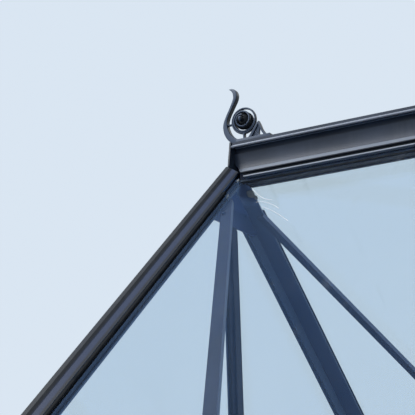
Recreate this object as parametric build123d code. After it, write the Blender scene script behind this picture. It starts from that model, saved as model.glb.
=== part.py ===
from build123d import *
from math import atan2, cos, hypot, radians, sin, tan
import os

# Greenhouse roof: a glazed gable roof on its own eaves frame. X runs along the ridge, Y across, Z up.
# The origin is the centre of the flat underside. All sizes are millimetres.

# Whole roof
roof_pitch = 39.85            # slope of both roof sides, degrees
half_span = 1320.0            # from the ridge line to the outer face of an eaves beam
bay = 620.0                   # spacing of the glazing bars
bay_count = 3
eaves_height = 40.0           # outer height of an eaves beam, where its sloping top begins
fit = 0.3                     # running clearance between neighbouring pieces

# Glass
glass = 4.0                   # thickness of every pane
glass_overhang = 12.0         # roof panes run past the eaves beam
glass_top_gap = 27.0          # from the ridge line to the upper edge of a roof pane
pane_side_gap = 4.0           # from the middle of a bar to the edge of a pane

# Gable rafter, heights measured square to the glass from its outer surface
rafter_width = 44.0
rafter_depth = 38.0
rafter_web = 3.0
channel_width = 5.0           # slot that holds the gable glass
inner_web = 2.0
seat_flange = 3.0
seat_depth = 13.2             # underside of the glass seat
cap_width = 34.0              # outer capping of the rafter
cap_edge = 4.0                # height of the capping at its edge
cap_shoulder = 7.0
nose_width = 18.0
nose_height = 10.5
nose_taper = 6.0              # the nose narrows by this towards its top
nose_edge = 2.0               # chamfer along its outer edge
seat_lip = 1.0                # the gable glass slot stops this far under the seat
rafter_stem = 24.0            # the pane stops beside this
seat_inner = 38.0

# Roof glazing bar
bar_depth = 30.0
bar_web = 4.0
bar_foot = 18.0
bar_seat = 34.0
bar_cap = 28.0
bar_flange = 3.0
bar_seat_strip = 22.0         # raised part of the seat that the panes rest on
bar_crown = 7.0
bar_crown_fall = 0.8          # the capping falls this much at a quarter of its width

# Gasket beside the capping of a gable rafter
gasket_width = 3.0
gasket_height = 3.4
gasket_edge = 1.2
gasket_lip = 1.0
gasket_lift = 0.1             # it all but touches the glass

# Ridge, heights measured from the line where the two outer glass surfaces would meet
beam_half = 23.7
beam_low = -28.8
beam_wall = 3.0
rib_place = 13.0              # two ribs under the beam, from its middle
rib_thick = 2.0
rib_drop = 2.2
mould_top = 36.2
mould_inner = 24.0
recess_depth = 27.0
face_half = 32.0
face_high = 22.8
face_low = -6.9
face_hollow = 1.2             # the face is slightly hollow
ledge_half = 36.5
ledge_high = -13.8
ledge_low = -15.6
groove_half = 29.5
groove_high = -16.6
groove_low = -19.8
bead_half = 32.4              # middle of the bead
bead_middle = -23.1
bead_radius = 2.8
foot_half = 32.0
mould_wall = 2.6
cap_half = 41.0
cap_top = 43.4
cap_flank = 38.2
cap_flare = 44.6              # the capping's lower edge flares out to this
cap_flare_high = 34.9
cap_low = 32.3
crown = 47.0
crown_edge = 45.6             # height of the capping at its shoulder
cap_shoulder_half = 33.0
cap_lip = 3.0
cap_wall = 3.0
rake_top = 6.0                # below this height the moulding's ends are cut back
rake_run = 22.0

# Ridge end plate: half widths and their heights
plate = 3.0
plate_side = [(43.0, 44.2), (43.6, 41.0), (45.4, 31.0), (50.0, 10.0), (52.4, -3.0), (51.0, -5.2)]

# Eaves beam and gable sill
beam_width = 50.0
eaves_lip = 4.0
sill_height = 50.0
sill_lip = 8.0
sill_width = 40.0
sill_fall = 6.0               # its inner edge is this much lower
sill_ledge = 4.0              # flat beside the gable glass
hollow_wall = 3.0             # walls of the hollow sections

# Gable mullions
mullion_width = 38.0
mullion_flange = 2.5
mullion_depth = 10.0
mullion_web = 6.0
mullion_rib = 14.0            # width of a flat rib along its inner face
mullion_rib_depth = 4.0
side_mullion = 620.0          # from the middle of the gable

# Gusset at the apex of a gable
gusset = 2.6
gusset_low = -105.0
gusset_cut = 10.0             # its lower corners are cut off this far in

# Wind brace, an angle section
brace_wide = 20.0
brace_narrow = 10.0
brace_thick = 2.5
brace_start = 96.0            # down the slope from the ridge line
brace_end_gap = 14.0          # from its middle line to the lip of the eaves beam
brace_offset = 1.8            # its line meets the ridge line this far in from the gable's face

# Finial: a cast scroll. Places are (from the ridge's end inwards, above the apex line); negative is outside.
finial_foot = 59.0            # underside of its legs, inside the base bar
base_start = -8.0
base_length = 74.0
base_top = 61.5
base_width = 12.0
tail_thick = 12.0
tail_line = [(2.0, 53.5, 12.0), (-8.5, 58.3, 11.8), (-17.6, 65.4, 11.6), (-23.7, 74.2, 11.2),
             (-26.9, 82.9, 10.4), (-28.2, 91.2, 8.8), (-27.4, 99.0, 6.9), (-24.9, 106.4, 5.3),
             (-21.4, 113.8, 4.6), (-17.3, 120.9, 4.6), (-13.3, 128.1, 5.0), (-9.7, 135.3, 5.6),
             (-6.8, 142.6, 6.6), (-6.4, 149.8, 7.4), (-8.6, 156.2, 7.0), (-12.6, 161.2, 4.6),
             (-17.8, 164.8, 1.6)]
ring_centre = (10.0, 96.4)
ring_radius = 26.0
ring_bar = 4.2
ring_thick = 7.0
coil_start = 23.0             # from the axle to its middle line, where it leaves the ring
coil_half_turns = 4
coil_pitch = 8.5              # the coil comes in this far each turn
coil_width = 4.0
coil_rise = 13.0              # and stands this far out of the ring at its inner end
coil_edge = 3.0               # half thickness of the coil where it leaves the ring
core_radius = 18.5            # the core between the turns steps outwards towards its middle
core_edge = 5.0
core_step_radius = 11.3
core_step_edge = 10.0
ball_radius = 5.0
ball_corners = (-60, -20, 20, 60)     # directions of the corners of its turned outline, degrees
ball_out = 15.5
stem_width = 4.4
stem_thick = 8.0
link_height = 93.3
link_thick = 3.2
stay_thick = 9.0
stay = [(41.3, 89.5), (36.0, 81.0), (29.5, 71.0), (19.0, 59.0), (58.5, 59.0), (48.5, 70.0), (44.0, 80.0)]
stay_hole = [(41.5, 76.0), (45.0, 71.5), (50.5, 63.5), (44.0, 63.5)]

slope = radians(roof_pitch)
run_gable = bay * bay_count + rafter_width
gable_x = run_gable / 2
eaves_glass = eaves_height + (rafter_depth + fit) / cos(slope)
apex = eaves_glass + half_span * tan(slope)
slope_length = half_span / cos(slope)
slot_inner = rafter_web + channel_width
rafter_inner = slot_inner + inner_web
ridge_end = gable_x - cap_width - fit
bar_positions = [bay * (i - (bay_count - 2) / 2) for i in range(bay_count - 1)]


def save(name, shape):
    os.makedirs("parts", exist_ok=True)
    shape.label = name
    export_step(shape, "parts/" + name + ".step")


def along_x(points, x0, x1):
    """Extrude an outline of (across, up) points from x0 to x1."""
    face = make_face(Polyline(*[(0, y, z) for y, z in points], close=True))
    return extrude(face, amount=x1 - x0, dir=(1, 0, 0)).moved(Location((x0, 0, 0)))


def down_slope(points, side, start, end, x=0.0, flip=1):
    """Extrude an outline of (along, out) points down one roof side, from start to end."""
    normal = Vector(0, side * sin(slope), cos(slope))
    down = Vector(0, side * cos(slope), -sin(slope))
    foot = Vector(x, 0, apex) + down * start
    corners = [foot + Vector(flip * u, 0, 0) + normal * h for u, h in points]
    face = make_face(Polyline(*corners, close=True))
    return extrude(face, amount=end - start, dir=down)


def keep_between(shape, side, near, far):
    """Trim a piece to the upright planes at two distances from the ridge line."""
    tall = 4 * apex
    wide = 4 * gable_x
    middle = side * (near + far) / 2
    return shape & Box(wide, far - near, tall).moved(Location((0, middle, 0)))


def under_slope(height):
    """Drop of a plane that lies this far square below the outer glass."""
    return height / cos(slope)


def gable_rafter(end, side):
    body = [(0, -rafter_depth), (rafter_web, -rafter_depth), (rafter_web, -seat_depth - seat_lip),
            (slot_inner, -seat_depth - seat_lip), (slot_inner, -rafter_depth), (rafter_inner, -rafter_depth),
            (rafter_inner, -seat_depth), (rafter_width, -seat_depth),
            (rafter_width, -seat_depth + seat_flange), (seat_inner, -seat_depth + seat_flange),
            (seat_inner, -glass - fit), (rafter_stem, -glass - fit), (rafter_stem, fit), (cap_width, fit),
            (cap_width, cap_edge), (nose_width, cap_shoulder), (nose_width - nose_taper, nose_height),
            (nose_edge, nose_height), (0, nose_height - nose_edge)]
    piece = down_slope(body, side, -rafter_depth, slope_length + rafter_depth, end * gable_x, -end)
    return keep_between(piece, side, fit / 2, half_span - eaves_lip - fit)


def glazing_bar(x, side):
    half = [(0, bar_crown), (bar_cap / 4, bar_crown - bar_crown_fall), (bar_cap / 2, cap_edge),
            (bar_cap / 2, fit),
            (bar_web / 2, fit), (bar_web / 2, -glass - fit), (bar_seat_strip / 2, -glass - fit),
            (bar_seat_strip / 2, -seat_depth + bar_flange), (bar_seat / 2, -seat_depth + bar_flange),
            (bar_seat / 2, -seat_depth), (bar_web / 2, -seat_depth), (bar_web / 2, -bar_depth + bar_flange),
            (bar_foot / 2, -bar_depth + bar_flange), (bar_foot / 2, -bar_depth)]
    outline = half + [(-u, h) for u, h in reversed(half)]
    piece = down_slope(outline[:-1], side, 0, slope_length + rafter_depth, x)
    piece = keep_between(piece, side, beam_half + fit, half_span - eaves_lip - fit)
    hood = Box(bar_cap + fit, 2 * (ledge_half + fit), 4 * crown).moved(Location((x, 0, apex)))
    above = down_slope([(-bar_cap, 0), (bar_cap, 0), (bar_cap, 2 * bar_cap), (-bar_cap, 2 * bar_cap)],
                       side, -2 * ledge_half, 4 * ledge_half, x)
    return piece - (hood & above)


def roof_pane(bay_index, side):
    left = -bay * bay_count / 2 + bay * bay_index
    x0 = left + pane_side_gap
    x1 = left + bay - pane_side_gap
    if bay_index == 0:
        x0 = -gable_x + rafter_stem + 2
    if bay_index == bay_count - 1:
        x1 = gable_x - rafter_stem - 2
    section = [(x0, -glass), (x1, -glass), (x1, 0), (x0, 0)]
    start = glass_top_gap / cos(slope)
    return down_slope(section, side, start, slope_length + glass_overhang)


def gasket(end, side):
    inner = cap_width + fit
    outer = inner + gasket_width
    strip = [(inner, gasket_lift), (outer, gasket_lift), (outer, gasket_edge),
             (inner + gasket_lip, gasket_height),
             (inner, gasket_height)]
    start = 2 * ledge_half / cos(slope)
    return down_slope(strip, side, start, slope_length, end * gable_x, -end)


def ridge_beam():
    half_length = gable_x - rafter_width - fit
    size_z = mould_top - beam_low
    beam = Box(2 * half_length, 2 * beam_half, size_z)
    beam = beam - Box(2 * half_length, 2 * (beam_half - beam_wall), size_z - 2 * beam_wall)
    for side in (-1, 1):
        rib = Box(2 * half_length, rib_thick, 2 * rib_drop)
        beam = beam + rib.moved(Location((0, side * rib_place, -size_z / 2)))
    return beam.moved(Location((0, 0, apex + (mould_top + beam_low) / 2)))


def ridge_moulding(side):
    def at(distance, height):
        return (0, side * distance, apex + height)

    def on_glass(distance):
        return at(distance, -distance * tan(slope) + fit)

    wall = mould_wall
    bead_high = bead_middle + bead_radius
    bead_low = bead_middle - bead_radius
    outline = [
        Polyline(at(mould_inner, mould_top), at(recess_depth, mould_top),
                 at(recess_depth, face_high + wall / 2),
                 at(face_half, face_high)),
        ThreePointArc(at(face_half, face_high), at(face_half - face_hollow, (face_high + face_low) / 2),
                      at(face_half, face_low)),
        Polyline(at(face_half, face_low), at(ledge_half, ledge_high), at(ledge_half, ledge_low),
                 at(groove_half, groove_high), at(groove_half, groove_low), at(bead_half, bead_high)),
        ThreePointArc(at(bead_half, bead_high), at(bead_half + bead_radius, bead_middle),
                      at(bead_half, bead_low)),
        Polyline(at(bead_half, bead_low), on_glass(foot_half), on_glass(foot_half - wall),
                 at(groove_half - wall, groove_low), at(groove_half - wall, groove_high + wall),
                 at(face_half - face_hollow - wall, face_low),
                 at(face_half - face_hollow - wall, face_high - wall),
                 at(mould_inner, face_high - wall), at(mould_inner, mould_top)),
    ]
    face = make_face([edge for stretch in outline for edge in stretch.edges()])
    half_length = ridge_end - plate - fit
    bar = extrude(face, amount=2 * half_length, dir=(1, 0, 0)).moved(Location((-half_length, 0, 0)))
    low = apex - foot_half * tan(slope)
    for end in (-1, 1):
        corners = [(half_length, apex + rake_top), (half_length - rake_run, low),
                   (half_length + rake_run, low),
                   (half_length + rake_run, apex + rake_top)]
        wedge = make_face(Polyline(*[(end * x, -2 * ledge_half, z) for x, z in corners], close=True))
        bar = bar - extrude(wedge, amount=4 * ledge_half, dir=(0, 1, 0))
    return bar


def ridge_capping():
    half = [(0, crown), (cap_shoulder_half, crown_edge), (cap_half, cap_top), (cap_half, cap_flank),
            (cap_flare, cap_flare_high), (cap_flare, cap_low), (cap_half - cap_lip, cap_low),
            (cap_half - cap_lip, cap_top - cap_wall), (recess_depth, crown_edge - cap_wall),
            (recess_depth, mould_top + fit), (mould_inner, mould_top + fit),
            (mould_inner, crown_edge - cap_wall),
            (0, crown - cap_wall)]
    outline = half + [(-d, z) for d, z in reversed(half[1:-1])]
    return along_x([(d, apex + z) for d, z in outline], -ridge_end + plate + fit, ridge_end - plate - fit)


def ridge_end_plate(end):
    half = [(0, crown), (cap_shoulder_half, crown_edge)] + plate_side
    outline = half + [(-d, z) for d, z in reversed(half)]
    inner = ridge_end - plate
    x0, x1 = (inner, ridge_end) if end > 0 else (-ridge_end, -inner)
    return along_x([(d, apex + z) for d, z in outline[:-1]], x0, x1)


def eaves_beam(side):
    outer = half_span
    inner = half_span - beam_width
    top = -under_slope(rafter_depth + fit)
    lip_top = -under_slope(glass + fit)

    def up(distance, drop):
        return apex - distance * tan(slope) + drop

    outline = [(outer, 0), (outer, up(outer, lip_top)), (outer - eaves_lip, up(outer - eaves_lip, lip_top)),
               (outer - eaves_lip, up(outer - eaves_lip, top)), (inner, up(inner, top)), (inner, 0)]
    wall = hollow_wall
    corner = wall / cos(slope) + wall * tan(slope)
    low_inner = [(outer - wall, wall), (outer - wall, up(outer, top) - corner + wall * tan(slope)),
                 (inner + wall, up(inner, top) - corner), (inner + wall, wall)]
    shell = along_x([(side * y, z) for y, z in outline], -gable_x, gable_x)
    hollow = along_x([(side * y, z) for y, z in low_inner], -gable_x - wall, gable_x + wall)
    return shell - hollow


def gable_sill(end):
    length = 2 * (half_span - beam_width - fit)
    ledge = slot_inner + sill_ledge
    wall = hollow_wall
    outline = [(0, 0), (sill_width, 0), (sill_width, sill_height - sill_fall), (ledge, sill_height),
               (slot_inner, sill_height), (slot_inner, sill_height - sill_lip),
               (rafter_web, sill_height - sill_lip), (rafter_web, sill_height), (0, sill_height)]
    inside = [(wall, wall), (sill_width - wall, wall),
              (sill_width - wall, sill_height - sill_fall - 2 * wall),
              (ledge + wall, sill_height - sill_lip - wall), (wall, sill_height - sill_lip - wall)]

    def bar(points, reach):
        corners = [(end * (gable_x - u), -reach, z) for u, z in points]
        return extrude(make_face(Polyline(*corners, close=True)), amount=2 * reach, dir=(0, 1, 0))

    return bar(outline, length / 2) - bar(inside, length / 2 + wall)


def below(height, margin=0.0):
    """A block that fills the roof's inside up to a plane square below the glass."""
    drop = apex - under_slope(height) - margin
    foot = drop - half_span * tan(slope)
    return along_x([(0, drop), (half_span, foot), (half_span, -1), (-half_span, -1), (-half_span, foot)],
                   -gable_x, gable_x)


def mullion(end, y):
    w = mullion_width / 2
    f = mullion_flange
    rib = mullion_rib / 2
    rib_face = mullion_depth + mullion_rib_depth
    outline = [(0, -w), (0, w), (f, w), (f, mullion_web / 2), (mullion_depth - f, mullion_web / 2),
               (mullion_depth - f, w), (mullion_depth, w), (mullion_depth, rib), (rib_face, rib),
               (rib_face, -rib), (mullion_depth, -rib), (mullion_depth, -w), (mullion_depth - f, -w),
               (mullion_depth - f, -mullion_web / 2), (f, -mullion_web / 2), (f, -w)]
    base = sill_height + fit
    corners = [(end * (gable_x - u), y + v, base) for u, v in outline]
    post = extrude(make_face(Polyline(*corners, close=True)), amount=apex, dir=(0, 0, 1))
    if y == 0:
        behind = Box(2 * mullion_rib_depth, mullion_width, apex)
        over = apex + gusset_low - fit + apex / 2
        post = post - behind.moved(Location((end * (gable_x - mullion_depth - mullion_rib_depth), y, over)))
    return post & below(rafter_depth + fit)


def gable_glass(end):
    edge = (mullion_web / 2) + fit
    x = gable_x - rafter_web - (channel_width - glass) / 2 - glass
    base = sill_height - sill_lip + fit
    lines = [-half_span + beam_width + 2, -side_mullion, 0.0, side_mullion, half_span - beam_width - 2]
    panes = []
    for i in range(4):
        a = lines[i] + (edge if i > 0 else 0)
        b = lines[i + 1] - (edge if i < 3 else 0)
        block = Box(glass, b - a, apex).moved(Location((end * (x + glass / 2), (a + b) / 2, base + apex / 2)))
        panes.append(block & below(seat_depth + 3))
    return Compound(children=panes)


def gusset_plate(end):
    x = gable_x - rafter_inner - fit
    peak = apex - under_slope(seat_depth + fit)
    low = apex + gusset_low
    reach = (peak - low) / tan(slope)
    outline = [(0, peak), (reach - gusset_cut, low + gusset_cut * tan(slope)), (reach - 2 * gusset_cut, low)]
    outline = outline + [(-d, z) for d, z in reversed(outline)][:-1]
    x0, x1 = (x - gusset, x) if end > 0 else (-x, -x + gusset)
    return along_x(outline, x0, x1)


def wind_brace(end, side):
    """An angle that runs under the glass seats, from the apex of the gable to the foot of the first bar."""
    bay_turn = atan2(bay, slope_length)
    half_across = brace_wide / 2 / cos(bay_turn)
    foot_u = rafter_width / 2 + bay - bar_web / 2 - fit - half_across
    foot_s = (half_span - eaves_lip) / cos(slope) - brace_end_gap
    turn = atan2(foot_u - brace_offset, foot_s)
    start_u = brace_offset + brace_start * tan(turn)
    length = (foot_s - brace_start) / cos(turn)
    normal = Vector(0, side * sin(slope), cos(slope))
    down = Vector(0, side * cos(slope), -sin(slope))
    inward = Vector(-end, 0, 0)
    along = down * cos(turn) + inward * sin(turn)
    across = inward * cos(turn) - down * sin(turn)
    head = Vector(end * gable_x, 0, apex) + inward * start_u + down * brace_start
    foot = head - normal * (seat_depth + fit)
    w = brace_wide / 2
    t = brace_thick
    section = [(-w, 0), (w, 0), (w, -brace_narrow), (w - t, -brace_narrow), (w - t, -t), (-w, -t)]
    corners = [foot + across * a + normal * b for a, b in section]
    return extrude(make_face(Polyline(*corners, close=True)), amount=length, dir=along)


def finial(end):
    """A cast scroll: tail, ring, coil that winds in and stands out on both sides, stem and stay."""
    def spot(u, z, out=0.0):
        return (end * (ridge_end - u), out, apex + z)

    def slab(edges, thick):
        return extrude(make_face(edges), amount=thick, dir=(0, 1, 0)).moved(Location((0, -thick / 2, 0)))

    def plate_of(corners, thick):
        return slab(Polyline(*[spot(u, z) for u, z in corners], close=True).edges(), thick)

    def band(line, thick):
        """A flat bar of changing width along a line of (u, z, width)."""
        left = []
        right = []
        for i, (u, z, width) in enumerate(line):
            before = line[max(i - 1, 0)]
            after = line[min(i + 1, len(line) - 1)]
            du, dz = after[0] - before[0], after[1] - before[1]
            reach = width / 2 / hypot(du, dz)
            left.append(spot(u - dz * reach, z + du * reach))
            right.append(spot(u + dz * reach, z - du * reach))
        parts = [Spline(*left), Line(left[-1], right[-1]), Spline(*right), Line(right[0], left[0])]
        return slab([edge for part in parts for edge in part.edges()], thick)

    def turned(profile):
        """A profile of (radius, out) turned about the scroll's axle."""
        cu, cz = ring_centre
        face = make_face(Polyline(*[spot(cu - radius, cz, out) for radius, out in profile], close=True))
        return revolve(face, Axis(spot(cu, cz), (0, 1, 0)), 360)

    def spiral(offset):
        """Half circles that wind in from the ring's right, this far outside the coil's middle line."""
        cu, cz = ring_centre
        arcs = []
        for half in range(coil_half_turns):
            sign = 1 if half % 2 == 0 else -1
            radius = coil_start - coil_pitch / 2 * (half + 0.5) + offset
            middle = cu + sign * coil_pitch / 4
            arcs.append(ThreePointArc(spot(middle + sign * radius, cz), spot(middle, cz - sign * radius),
                                      spot(middle - sign * radius, cz)))
        return arcs

    outside = spiral(coil_width / 2)
    inside = spiral(-coil_width / 2)
    ends = [Line(outside[-1] @ 1, inside[-1] @ 1), Line(outside[0] @ 0, inside[0] @ 0)]
    inner = coil_start - coil_pitch / 2 * coil_half_turns
    high = coil_edge + coil_rise
    fall = coil_rise / (coil_start - inner)
    outer = coil_start + ring_bar
    edge = coil_edge - fall * ring_bar
    cone = turned([(0, -high), (inner, -high), (outer, -edge), (outer, edge), (inner, high), (0, high)])
    core = turned([(0, -core_step_edge), (core_step_radius, -core_step_edge), (core_step_radius, -core_edge),
                   (core_radius, -core_edge), (core_radius, core_edge), (core_step_radius, core_edge),
                   (core_step_radius, core_step_edge), (0, core_step_edge)])
    half_ring = ring_thick / 2
    ring_inner = ring_radius - ring_bar
    ring = turned([(ring_inner, -half_ring), (ring_radius, -half_ring),
                   (ring_radius, half_ring), (ring_inner, half_ring)])
    ball_line = []
    for turn in ball_corners:
        ball_line.append((ball_radius * cos(radians(turn)), ball_out + ball_radius * sin(radians(turn))))
    tip = ball_line[-1][1]
    mirrored = [(radius, -out) for radius, out in reversed(ball_line)]
    balls = turned([(0, -tip)] + mirrored + ball_line + [(0, tip)])
    coil = slab([edge for part in outside + inside + ends for edge in part.edges()], 2 * high) & cone
    volute = coil + core + ring + balls
    ring_low = ring_centre[1] - ring_radius + ring_bar / 2
    half_stem = stem_width / 2
    stem_left = ring_centre[0] - half_stem
    stem_right = ring_centre[0] + half_stem
    stem = plate_of([(stem_left, finial_foot), (stem_right, finial_foot),
                     (stem_right, ring_low), (stem_left, ring_low)], stem_thick)
    link_start = min(u for u, z, width in tail_line) + ring_bar / 2
    link_end = ring_centre[0] - ring_radius + ring_bar / 2
    link_low = link_height - link_thick / 2
    link_high = link_height + link_thick / 2
    link = plate_of([(link_start, link_low), (link_end, link_low),
                     (link_end, link_high), (link_start, link_high)], stem_thick)
    base_low = crown + fit
    base_end = base_start + base_length
    base = plate_of([(base_start, base_low), (base_end, base_low),
                     (base_end, base_top), (base_start, base_top)], base_width)
    brace = plate_of(stay, stay_thick) - plate_of(stay_hole, 2 * stay_thick)
    return base + band(tail_line, tail_thick) + volute + stem + link + brace


sides = {"front": -1, "rear": 1}
ends = {"left": -1, "right": 1}

save("ridge_beam", ridge_beam())
save("ridge_capping", ridge_capping())
for side_name, side in sides.items():
    save("ridge_moulding_" + side_name, ridge_moulding(side))
    save("eaves_beam_" + side_name, eaves_beam(side))
    for number, x in enumerate(bar_positions, 1):
        save(f"roof_bar_{side_name}_{number}", glazing_bar(x, side))
    for number in range(bay_count):
        save(f"roof_pane_{side_name}_{number + 1}", roof_pane(number, side))
for end_name, end in ends.items():
    save("ridge_end_plate_" + end_name, ridge_end_plate(end))
    save("finial_" + end_name, finial(end))
    save("gable_sill_" + end_name, gable_sill(end))
    save("gable_mullion_" + end_name, mullion(end, 0.0))
    save("gable_mullion_front_" + end_name, mullion(end, -side_mullion))
    save("gable_mullion_rear_" + end_name, mullion(end, side_mullion))
    save("gable_glass_" + end_name, gable_glass(end))
    save("gusset_plate_" + end_name, gusset_plate(end))
    for side_name, side in sides.items():
        save(f"gable_rafter_{side_name}_{end_name}", gable_rafter(end, side))
        save(f"rafter_gasket_{side_name}_{end_name}", gasket(end, side))
        save(f"wind_brace_{side_name}_{end_name}", wind_brace(end, side))
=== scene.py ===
import math
import bpy
from mathutils import Matrix, Vector


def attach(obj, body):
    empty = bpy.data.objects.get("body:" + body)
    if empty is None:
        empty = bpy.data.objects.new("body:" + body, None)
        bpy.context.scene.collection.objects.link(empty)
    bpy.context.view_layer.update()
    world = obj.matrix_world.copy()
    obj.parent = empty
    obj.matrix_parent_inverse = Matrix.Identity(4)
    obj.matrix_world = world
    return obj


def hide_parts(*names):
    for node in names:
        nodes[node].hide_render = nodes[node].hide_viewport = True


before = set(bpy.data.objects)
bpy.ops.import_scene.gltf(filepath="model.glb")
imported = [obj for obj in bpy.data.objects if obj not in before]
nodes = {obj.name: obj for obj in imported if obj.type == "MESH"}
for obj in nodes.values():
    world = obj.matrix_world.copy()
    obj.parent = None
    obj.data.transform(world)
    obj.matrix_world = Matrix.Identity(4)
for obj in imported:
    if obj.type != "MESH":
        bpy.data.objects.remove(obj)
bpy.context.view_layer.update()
print("frame loaded:", len(nodes), "nodes")

# The roof's own lines, in metres. The source of the solids has the same values.
roof = {
    "pitch": math.radians(39.85),
    "halfSpan": 1.320,
    "eaves": 0.040,           # top of the eaves beams
    "depth": 0.0383,          # from there to the outside of the glass, square to it
    "gableX": 0.952,
    "ridgeEnd": 0.9177,
}
slopeSin, slopeCos = math.sin(roof["pitch"]), math.cos(roof["pitch"])
apex = roof["eaves"] + roof["depth"] / slopeCos + roof["halfSpan"] * slopeSin / slopeCos
ends = ((-1, "left"), (1, "right"))
sides = ((-1, "front"), (1, "rear"))
black = (0.0, 0.0, 0.0, 1.0)
upwards, downwards = (0, 0, 1), (0, 0, -1)
flat = 0.99                   # a face looks along an axis when its normal lies this much along it
mergeDistance = 1e-6


def mm(*lengths):
    # the values of the pieces are in mm, the scene is in metres
    metres = tuple(length / 1000 for length in lengths)
    return metres if len(metres) > 1 else metres[0]


class Wire:
    # One output in a shader tree. Arithmetic on it adds Math nodes.
    def __init__(self, finish, socket):
        self.finish = finish
        self.socket = socket

    def math(self, kind, first, second, clamp=False):
        settings = {"operation": kind, "use_clamp": clamp}
        return self.finish.add("ShaderNodeMath", settings, {0: first, 1: second})

    def __add__(self, other):
        return self.math("ADD", self, other)

    __radd__ = __add__

    def __sub__(self, other):
        return self.math("SUBTRACT", self, other)

    def __rsub__(self, other):
        return self.math("SUBTRACT", other, self)

    def __mul__(self, other):
        return self.math("MULTIPLY", self, other)

    __rmul__ = __mul__

    def __pow__(self, other):
        return self.math("POWER", self, other)

    def __abs__(self):
        return self.math("ABSOLUTE", self, 0.0)

    def greater(self, other):
        return self.math("MAXIMUM", self, other)

    def clamped(self):
        return self.math("ADD", self, 0.0, True)


# Short names for a Principled shader's inputs
shaderInputs = {"colour": "Base Color", "rough": "Roughness", "metal": "Metallic", "normal": "Normal",
                "shine": "Specular IOR Level", "glow": "Emission Color", "glowStrength": "Emission Strength"}
# How far a face turns up or down where an "in" or "under" band starts and where it is full (see Finish.band)
bandTurn = (0.1, 0.3)


class Finish:
    # A material, or the world, while it is put together
    def __init__(self, name, kind="materials"):
        self.block = getattr(bpy.data, kind).new(name)
        self.block.use_nodes = True
        self.tree = self.block.node_tree
        self.tree.nodes.clear()
        self.place = self.add("ShaderNodeTexCoord", out="Object") if kind == "materials" else None

    def add(self, kind, settings=None, values=None, out=0):
        node = self.tree.nodes.new(kind)
        for key, value in (settings or {}).items():
            setattr(node, key, value)
        for key, value in (values or {}).items():
            if isinstance(value, Wire):
                self.tree.links.new(value.socket, node.inputs[key])
            else:
                node.inputs[key].default_value = value
        return Wire(self, node.outputs[out]) if node.outputs else None

    def noise(self, scale, detail=3.0, rough=0.5, stretch=(1, 1, 1)):
        spot = self.add("ShaderNodeMapping", None, {"Vector": self.place, "Scale": stretch})
        return self.add("ShaderNodeTexNoise", None,
                        {"Vector": spot, "Scale": scale, "Detail": detail, "Roughness": rough})

    def step(self, wire, low, high):
        return self.add("ShaderNodeMapRange", {"interpolation_type": "SMOOTHSTEP"},
                        {"Value": wire, "From Min": low, "From Max": high})

    def blend(self, mask, first, second):
        return self.add("ShaderNodeMix", {"data_type": "RGBA"}, {0: mask, 6: first, 7: second}, out=2)

    def facing(self, direction):
        # 1 where the surface looks along this direction, -1 where it looks the other way
        normal = self.add("ShaderNodeNewGeometry", out="Normal")
        return self.add("ShaderNodeVectorMath", {"operation": "DOT_PRODUCT"},
                        {0: normal, 1: direction}, out="Value")

    def band(self, line, low, high, soft):
        # 1 between two places in mm: "up" from the apex line, "in" from the gable's outer face on faces that
        # look up, "under" as "up" on faces that look down. "side", "face" and "down" go by the surface's own
        # direction, 0 to 1: along the ridge, across it, downwards.
        if line in ("side", "face", "down"):
            turned = self.facing({"side": (1, 0, 0), "face": (0, 1, 0), "down": downwards}[line])
            spot = turned if line == "down" else abs(turned)
        else:
            part = self.add("ShaderNodeSeparateXYZ", None, {0: self.place}, out="X" if line == "in" else "Z")
            spot = (roof["gableX"] - abs(part)) * 1000 if line == "in" else (part - apex) * 1000
        within = self.step(spot, low - soft, low) * (1 - self.step(spot, high, high + soft))
        only = {"in": upwards, "under": downwards}.get(line)
        return within * self.step(self.facing(only), *bandTurn) if only else within

    def bump(self, height, strength, distance):
        return self.add("ShaderNodeBump", None,
                        {"Height": height, "Strength": strength, "Distance": distance})

    def surface(self, **values):
        # a Principled shader, its inputs by their short names
        inputs = {shaderInputs[key]: value for key, value in values.items()}
        return self.add("ShaderNodeBsdfPrincipled", None, inputs)

    def done(self, shader, output="ShaderNodeOutputMaterial"):
        self.add(output, None, {"Surface": shader})
        return self.block


def rgb(red, green, blue):
    # screen colour, 0 to 255, as the shader wants it
    channels = (red, green, blue)
    return tuple(((c / 255 + 0.055) / 1.055) ** 2.4 if c > 10 else c / 255 / 12.92 for c in channels) + (1.0,)


# Powder coat of the frame: dark blue-grey, fine orange peel, dust where rain leaves it.
# Each noise has its scale, detail and roughness; a range says where it starts and where it is full.
frameCoat = {
    "deep": rgb(34, 42, 56), "pale": rgb(47, 56, 73), "dust": rgb(138, 144, 152),
    "dustAmount": 0.12, "gloss": 0.30, "shine": 0.42, "peel": 0.00004,
    "cloud": (9.0, 4.0), "cloudRange": (0.3, 0.7), "glossRange": (0.25, 0.75), "glossSpread": 0.1,
    "grain": (900.0, 2.0), "grainRange": (0.62, 0.8), "grainShare": 0.12,
    "orangePeel": (420.0, 1.0), "peelShare": 0.8, "peelStrength": 0.5,
    "drops": (70.0, 5.0, 0.65), "dropRange": (0.44, 0.72), "lyingRange": (0.35, 0.95),
    "rain": (26.0, 3.0, 0.6), "rainStretch": (1, 1, 0.12), "rainRange": (0.52, 0.74), "rainShare": 0.45,
    "dustRough": 0.8,
}


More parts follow.
